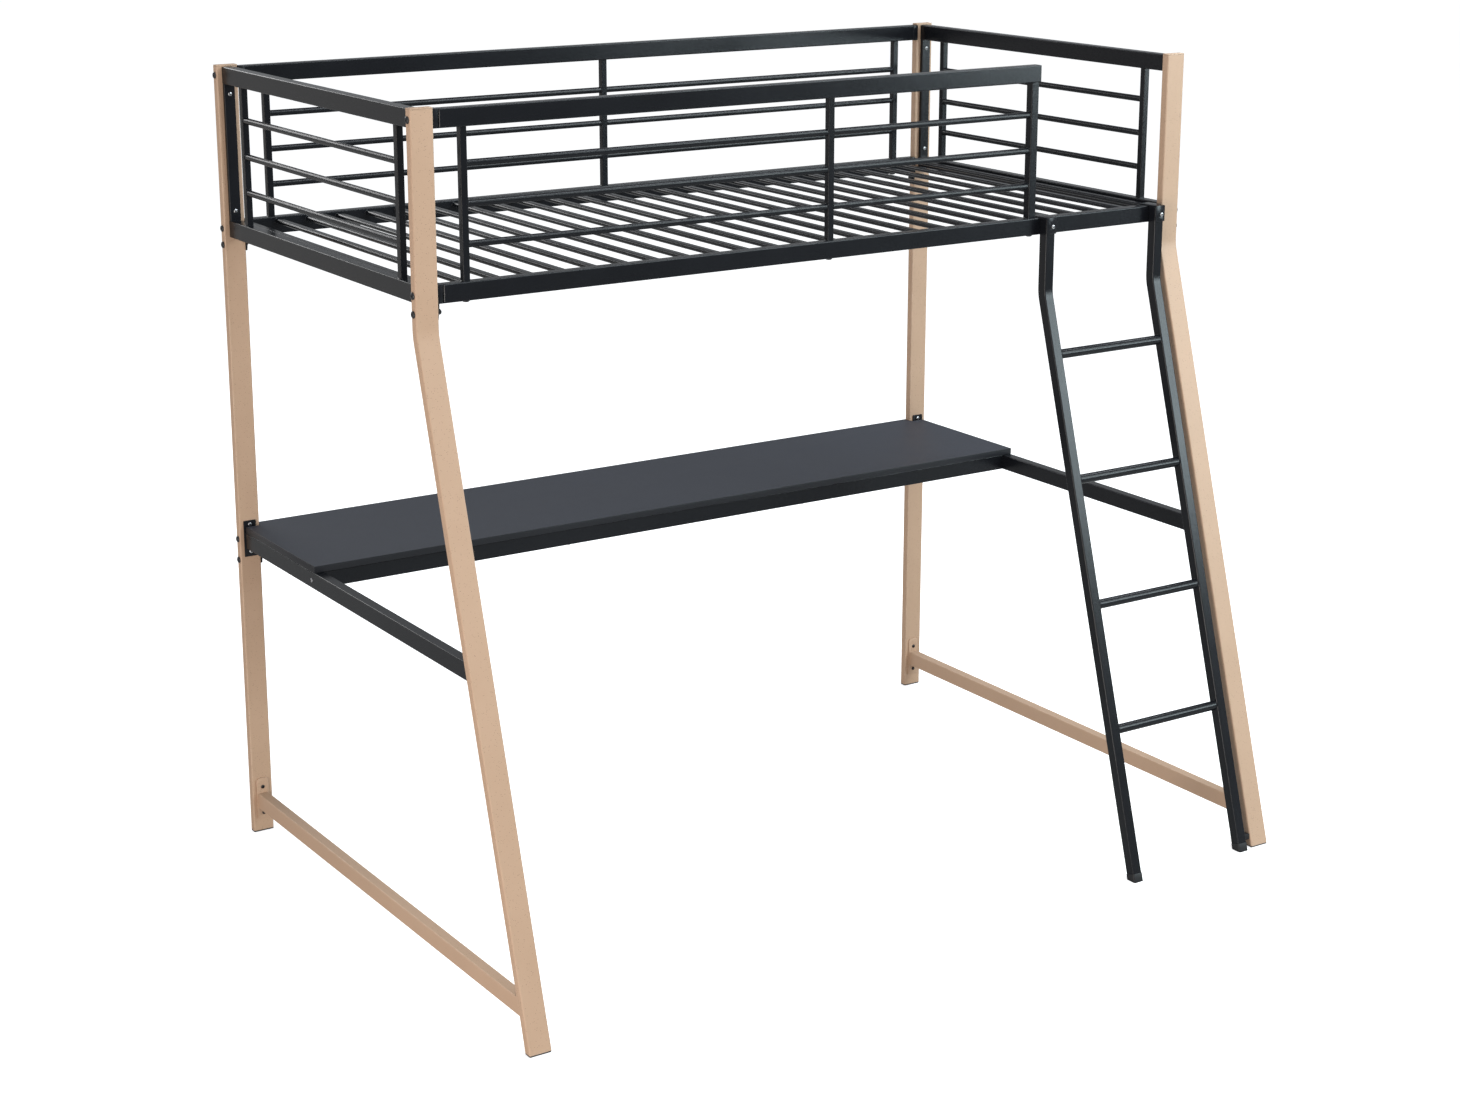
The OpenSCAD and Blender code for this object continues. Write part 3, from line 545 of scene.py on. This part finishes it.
desk_top = block("desk_top", board_lo, board_hi)
plates = solids_of("desk_post_plates")
notch_depth = board_hi.y - min(points.min(axis=0)[1] for points in plates) + NOTCH_PLAY_BACK
notch_width = board_hi.x - max(points.min(axis=0)[0] for points in plates) + NOTCH_PLAY_SIDE
for side in (-1, 1):
    inner = side * (board_hi.x - notch_width)
    outer = side * (board_hi.x + PAST_BOARD)
    cutter = block(
        "board_notch",
        (min(inner, outer), board_hi.y - notch_depth, board_lo.z - PAST_FACE),
        (max(inner, outer), board_hi.y + PAST_BOARD, board_hi.z + PAST_FACE),
    )
    apply_modifier(desk_top, "BOOLEAN", object=cutter, operation="DIFFERENCE", solver="EXACT")
    bpy.data.objects.remove(cutter)
apply_modifier(desk_top, "BEVEL", width=BOARD_BEVEL, segments=3, limit_method="ANGLE")
select_only(desk_top)
bpy.ops.object.mode_set(mode="EDIT")
bpy.ops.mesh.select_mode(type="FACE")
bpy.ops.mesh.select_all(action="DESELECT")
bpy.ops.object.mode_set(mode="OBJECT")
for face in desk_top.data.polygons:
    face.select = is_broad(face)
bpy.ops.object.mode_set(mode="EDIT")
bpy.ops.mesh.inset(thickness=BAND, depth=-BAND_STEP)
bpy.ops.object.mode_set(mode="OBJECT")
desk_top.data.materials.append(board_paint)
desk_top.data.materials.append(band_paint)
for face in desk_top.data.polygons:
    face.material_index = 0 if is_broad(face) else 1
settle(desk_top, board_paint, ["desk_board"], smooth=30)
print("desk board", len(desk_top.data.polygons), "faces")

# %% [markdown]
# ## Bolts and screws
# The posts are drawn to the rails by button head bolts with a hexagon socket, and the small
# plates by pan head screws with a cross. Each kind is modelled once: a short cylinder gets a
# crown by insetting and raising its top, a cutter takes the socket out, and a bevel breaks
# the rim. Copies then go wherever the frame has a fastener.

# %% One fastener with its crown, socket and shank
HEAD_SIDES = 32
SHANK_SIDES = 16
CROWN_RINGS = 5
RIM_SHARE = 0.35  # of the head's height, the straight part under the crown
CROWN_SHARE = 0.65  # of the head's height, the crown
CROWN_REACH = 0.62  # of the head's radius, how far in the crown bends
HEX_RADIUS, HEX_PLACE = 0.38, 0.92  # shares of the head's radius and height
CROSS_LENGTH, CROSS_WIDTH, CROSS_DEPTH = 1.05, 0.22, 0.9
HEAD_BEVEL = 0.05  # of the head's height
SHANK_BEVEL = 0.25  # of the shank's radius


def fastener(name, head_radius, head_height, shank_radius, length, socket):
    bpy.ops.mesh.primitive_cylinder_add(
        vertices=HEAD_SIDES, radius=head_radius, depth=head_height * RIM_SHARE,
        location=(0, 0, head_height * RIM_SHARE / 2))
    piece = bpy.context.object
    piece.name = name
    bpy.ops.object.transform_apply(location=True, rotation=True, scale=True)
    bpy.ops.object.mode_set(mode="EDIT")
    bpy.ops.mesh.select_mode(type="FACE")
    bpy.ops.mesh.select_all(action="DESELECT")
    bpy.ops.object.mode_set(mode="OBJECT")
    for face in piece.data.polygons:
        face.select = face.normal.z > 0.9
    bpy.ops.object.mode_set(mode="EDIT")
    for ring in range(CROWN_RINGS):
        turn = math.pi / 2 * (ring + 1) / (CROWN_RINGS + 1)
        before = math.pi / 2 * ring / (CROWN_RINGS + 1)
        rise = head_height * CROWN_SHARE * (math.sin(turn) - math.sin(before))
        shrink = head_radius * CROWN_REACH * (math.cos(before) - math.cos(turn))
        bpy.ops.mesh.inset(thickness=shrink, depth=0)
        bpy.ops.transform.translate(value=(0, 0, rise))
    bpy.ops.object.mode_set(mode="OBJECT")
    cutters = []
    if socket == "hex":
        bpy.ops.mesh.primitive_cylinder_add(
            vertices=6, radius=head_radius * HEX_RADIUS, depth=head_height,
            location=(0, 0, head_height * HEX_PLACE))
        cutters.append(bpy.context.object)
    else:
        for turn in (0, math.pi / 2):
            bpy.ops.mesh.primitive_cube_add(
                size=1, location=(0, 0, head_height), rotation=(0, 0, turn),
                scale=(head_radius * CROSS_LENGTH, head_radius * CROSS_WIDTH,
                       head_height * CROSS_DEPTH))
            cutters.append(bpy.context.object)
    for cutter in cutters:
        apply_modifier(piece, "BOOLEAN", object=cutter, operation="DIFFERENCE", solver="EXACT")
        bpy.data.objects.remove(cutter)
    apply_modifier(piece, "BEVEL", width=head_height * HEAD_BEVEL, segments=2,
                   limit_method="ANGLE", angle_limit=math.radians(50))
    bpy.ops.mesh.primitive_cylinder_add(
        vertices=SHANK_SIDES, radius=shank_radius, depth=length, location=(0, 0, -length / 2))
    shank = bpy.context.object
    bpy.ops.object.transform_apply(location=True, rotation=True, scale=True)
    apply_modifier(shank, "BEVEL", width=shank_radius * SHANK_BEVEL, segments=2,
                   limit_method="ANGLE")
    select_only(piece, shank)
    bpy.ops.object.join()
    clear_selection()
    return piece


WIDE = 0.9  # of the largest radius, so only the head's points
HALFWAY = 0.5


def fasteners_at(node, socket, material):
    models, count = {}, 0
    for solid in solids_of(node):
        middle, axis = axis_of(solid)
        along = np.array([(Vector(p) - middle).dot(axis) for p in solid])
        across = np.array([((Vector(p) - middle).cross(axis)).length for p in solid])
        head_end = along[across > across.max() * WIDE]
        if head_end.mean() < 0:
            axis, along, head_end = -axis, -along, -head_end
        radius, seat, length = across.max(), head_end.min(), head_end.min() - along.min()
        height = along.max() - seat
        size = (round(radius, 5), round(height, 5), round(length, 4))
        if size not in models:
            core = across[along < seat - length * HALFWAY].max()
            models[size] = fastener(f"{node}_model", radius, height, core, length, socket)
        count += 1
        piece = copy_to(models[size], f"{node}_{count:02d}", facing(middle + axis * seat, axis))
        settle(piece, material, [node], smooth=35)
    for model in models.values():
        bpy.data.objects.remove(model)
    print(node, count, "copies of", len(models), "model(s)")


# %% Put the fasteners in
fasteners_at("frame_bolts", "hex", screw_black)
fasteners_at("guard_bolts", "hex", screw_black)
for node in ("board_screws", "stretcher_screws"):
    fasteners_at(node, "cross", screw_black)
for node in ("panel_screws", "desk_side_screws", "desk_plate_screws", "hook_screws"):
    fasteners_at(node, "cross", screw_bright)

# %% [markdown]
# ## Welds
# Every rod, slat and rung is welded where it meets a square tube, and each joint shows a low
# rippled bead under the paint. A bead is a thin torus, its four corners pushed out when the
# bar isn't round, and its points shaken a little so that it isn't machine perfect. One is
# modelled for each shape of bar, and copies are turned to face along the bar.

# %% A bead round a bar
OFF_CENTRE = 0.2  # of the corner, past which a point moves with its side
SHAKE = 0.35  # of the bead's thickness


def weld_bead(name, half_a, half_b, corner, thickness, seed, around=16):
    bpy.ops.mesh.primitive_torus_add(
        major_segments=around, minor_segments=5, major_radius=corner, minor_radius=thickness)
    bead = bpy.context.object
    bead.name = name
    for axis, half in ((0, half_a), (1, half_b)):
        for side in (-1, 1):
            for vert in bead.data.vertices:
                vert.select = side * vert.co[axis] > corner * OFF_CENTRE
            bpy.ops.object.mode_set(mode="EDIT")
            shift = [0, 0, 0]
            shift[axis] = side * (half - corner)
            bpy.ops.transform.translate(value=shift)
            bpy.ops.mesh.select_mode(type="VERT")
            bpy.ops.mesh.select_all(action="DESELECT")
            bpy.ops.object.mode_set(mode="OBJECT")
    bpy.ops.object.mode_set(mode="EDIT")
    bpy.ops.mesh.select_all(action="SELECT")
    bpy.ops.transform.vertex_random(offset=thickness * SHAKE, seed=seed)
    bpy.ops.object.mode_set(mode="OBJECT")
    bpy.ops.object.shade_smooth()
    return bead


def ends_of(node):
    ends = []
    for solid in solids_of(node):
        middle, axis = axis_of(solid)
        along = [(Vector(p) - middle).dot(axis) for p in solid]
        ends += [(middle + axis * max(along), axis), (middle + axis * min(along), -axis)]
    return ends


def weld_at(name, model, places):
    parts = [copy_to(model, name, place) for place in places]
    select_only(*parts)
    bpy.ops.object.join()
    welds = bpy.context.object
    welds.name = name
    settle(welds, black_paint, smooth=60)
    print(name, len(places), "beads", len(welds.data.polygons), "faces")


# %% Beads on the rods and rungs
THIN_BEAD, BEAD, THICK_BEAD = 0.0012, 0.0013, 0.0015

rod_radius = (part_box("guard_rods_front")[1][1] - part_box("guard_rods_front")[0][1]) / 2
rod_bead = weld_bead("rod_bead", rod_radius, rod_radius, rod_radius, BEAD, seed=3)
for node in ("end_rods_left", "end_rods_right", "guard_rods_front", "guard_rods_rear"):
    weld_at(f"{node}_welds", rod_bead, [facing(end, way) for end, way in ends_of(node)])
bpy.data.objects.remove(rod_bead)
rung = solids_of("ladder_rungs")[0]
rung_radius = (rung[:, 2].max() - rung[:, 2].min()) / 2
rung_bead = weld_bead("rung_bead", rung_radius, rung_radius, rung_radius, THICK_BEAD,
                      seed=4, around=24)
weld_at("rung_welds", rung_bead, [facing(end, way) for end, way in ends_of("ladder_rungs")])
bpy.data.objects.remove(rung_bead)

# %% Beads on the slats and the uprights
UPRIGHT_CORNER = 0.0022

slat = solids_of("slats")[0]
slat_half = (slat.max(axis=0) - slat.min(axis=0)) / 2
slat_bead = weld_bead("slat_bead", slat_half[0], slat_half[2], slat_half[2], THIN_BEAD,
                      seed=5, around=12)
along_y = Matrix.Rotation(math.pi / 2, 4, "X")
slat_ends = [Matrix.Translation(end) @ along_y for end, _ in ends_of("slats")]
weld_at("slat_welds", slat_bead, slat_ends)
bpy.data.objects.remove(slat_bead)
for node in ("guard_uprights_front", "guard_uprights_rear", "end_uprights", "guard_end_post"):
    post = solids_of(node)[0]
    half = (post.max(axis=0) - post.min(axis=0)) / 2
    bead = weld_bead(f"{node}_bead", half[0], half[1], UPRIGHT_CORNER, BEAD, seed=6)
    weld_at(f"{node}_welds", bead, [Matrix.Translation(end) for end, _ in ends_of(node)])
    bpy.data.objects.remove(bead)

# %% [markdown]
# ## Caps, glides and feet
# A small plate closes the top of each post, a thin plastic glide sits under each foot, and
# the guard's open end has a plastic cap. These catch the light on their rims, which a sharp
# box can't do, so each one starts as a box of the right size and its edges are rounded:
# first the four upright ones to the tube's own corner, then the rim with a fine bevel.

# %% A plate with round corners and a soft rim
SAME_LINE = 1e-5
CORNER_STEPS = 6


def round_upright(piece, axis, radius):
    select_only(piece)
    across = [i for i in range(3) if i != axis]
    bpy.ops.object.mode_set(mode="EDIT")
    bpy.ops.mesh.select_mode(type="EDGE")
    bpy.ops.object.mode_set(mode="OBJECT")
    for edge in piece.data.edges:
        a, b = (piece.data.vertices[i].co for i in edge.vertices)
        edge.select = all(abs(a[i] - b[i]) < SAME_LINE for i in across)
    bpy.ops.object.mode_set(mode="EDIT")
    bpy.ops.mesh.bevel(offset=radius, segments=CORNER_STEPS, affect="EDGES")
    bpy.ops.object.mode_set(mode="OBJECT")


def soft_plate(name, low, high, axis, radius, rim):
    piece = block(name, low, high)
    round_upright(piece, axis, radius)
    apply_modifier(piece, "BEVEL", width=rim, segments=3, limit_method="ANGLE",
                   angle_limit=math.radians(50))
    return piece


# %% Post tops and foot glides
TUBE_CORNER = 0.003
PLATES = (  # node, material, slot, rim
    ("post_caps", tan_paint, "tan_paint", 0.0009),
    ("foot_glides", plastic, "black_plastic", 0.0010),
)
for node, material, slot, rim in PLATES:
    for count, solid in enumerate(solids_of(node), 1):
        plate = soft_plate(f"{node}_{count}", solid.min(axis=0), solid.max(axis=0),
                           2, TUBE_CORNER, rim)
        settle(plate, material, [node], smooth=40)
    print(node, count, "plates")

# %% Cap in the guard's open end
CAP_CORNER = 0.0025
CAP_RIM = 0.0008

cap_solid = solids_of("guard_end_cap")[0]
cap_lo, cap_hi = cap_solid.min(axis=0), cap_solid.max(axis=0)
rail_end_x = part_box("guard_rail_front")[1][0]
end_cap = soft_plate("guard_cap", (rail_end_x, cap_lo[1], cap_lo[2]), cap_hi,
                     0, CAP_CORNER, CAP_RIM)
settle(end_cap, plastic, ["guard_end_cap"], smooth=40)
print("guard cap", len(end_cap.data.polygons), "faces")

# %% [markdown]
# ## Soft edges on the pressed parts
# Brackets, end plates, nuts, hooks and the ladder's feet keep the frame's own shape, which
# has the right holes and slopes, but their edges were cut sharp. A merged copy of each one
# takes a fine bevel, so every rim has a thin line of light along it.

# %% Bevelled copies of the pressed parts
MERGE = 1e-5
FLAT_WITHIN = math.radians(1)
SHARP_BEYOND = math.radians(40)


def softened(node, width, material):
    source = frame["nodes"][node]
    piece = source.copy()
    piece.data = source.data.copy()
    piece.name = f"{node}_soft"
    for key in list(piece.keys()):
        del piece[key]
    scene.collection.objects.link(piece)
    piece.parent = None
    select_only(piece)
    bpy.ops.object.mode_set(mode="EDIT")
    bpy.ops.mesh.select_all(action="SELECT")
    bpy.ops.mesh.remove_doubles(threshold=MERGE)
    bpy.ops.mesh.dissolve_limited(angle_limit=FLAT_WITHIN)
    bpy.ops.object.mode_set(mode="OBJECT")
    apply_modifier(piece, "BEVEL", width=width, segments=2, limit_method="ANGLE",
                   angle_limit=SHARP_BEYOND, use_clamp_overlap=True)
    piece.data.materials.clear()
    settle(piece, material, [node], smooth=35)
    print(piece.name, len(piece.data.polygons), "faces")


PRESSED_EDGE, NUT_EDGE, MOULDED_EDGE = 0.0007, 0.0005, 0.0010

for node in ("side_rail_brackets", "guard_rail_brackets", "desk_beam_brackets",
             "desk_post_plates", "desk_leg_plates", "ladder_hooks"):
    softened(node, PRESSED_EDGE, black_paint)
for node in ("stretcher_post_plates", "stretcher_leg_plates"):
    softened(node, PRESSED_EDGE, tan_paint)
softened("frame_nuts", NUT_EDGE, screw_black)
for node in ("ladder_feet", "ladder_spacer"):
    softened(node, MOULDED_EDGE, plastic)

# %% Beads where the long rails meet their brackets
RAIL_CORNER = 0.003
INSIDE_SIDE, INSIDE_TOP = 0.0012, 0.0008  # the bead stays within the rail's own faces
NEAR_POST = 0.01
ALONG_X = Matrix(((0, 0, 1, 0), (1, 0, 0, 0), (0, 1, 0, 0), (0, 0, 0, 1)))

rail_lo, rail_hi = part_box("side_rail_front")
half_t = (rail_hi[1] - rail_lo[1]) / 2
half_h = (rail_hi[2] - rail_lo[2]) / 2
rail_bead = weld_bead("rail_bead", half_t - INSIDE_SIDE, half_h - INSIDE_TOP, RAIL_CORNER,
                      THIN_BEAD, seed=8, around=24)
rail_ends = [
    end
    for node in ("side_rail_front", "side_rail_rear", "guard_rail_front", "guard_rail_rear",
                 "desk_beam_rear")
    for end, _ in ends_of(node)
    if abs(end.x) > rail_hi[0] - NEAR_POST
]
weld_at("rail_welds", rail_bead, [Matrix.Translation(end) @ ALONG_X for end in rail_ends])
bpy.data.objects.remove(rail_bead)
